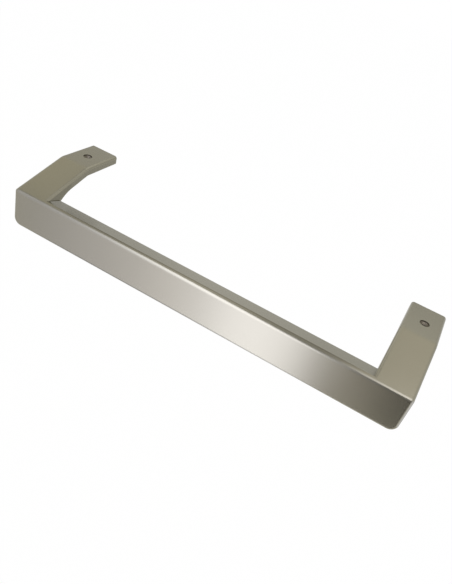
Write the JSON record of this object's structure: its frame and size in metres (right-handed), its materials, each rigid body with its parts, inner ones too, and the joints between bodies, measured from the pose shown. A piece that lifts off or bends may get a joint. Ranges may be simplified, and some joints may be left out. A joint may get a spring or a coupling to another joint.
{
  "type": "refrigerator door handle",
  "caption": "Straight refrigerator door handle: a flat-fronted grip bar on cranked arms that end in flat pads with countersunk screw holes.",
  "frame": {"origin": "midway between the screw holes, on the seating face of the pads", "axes": "+X along the bar, +Y from the bar's front face back to the tips of the pads, +Z the outward normal of the pads' tops, along the screws"},
  "size_m": [0.35, 0.0971, 0.0488],
  "materials": {
    "satin_metal": "satin champagne silver"
  },
  "bodies": {
    "root": {"handle": "satin_metal"}
  },
  "joints": []
}
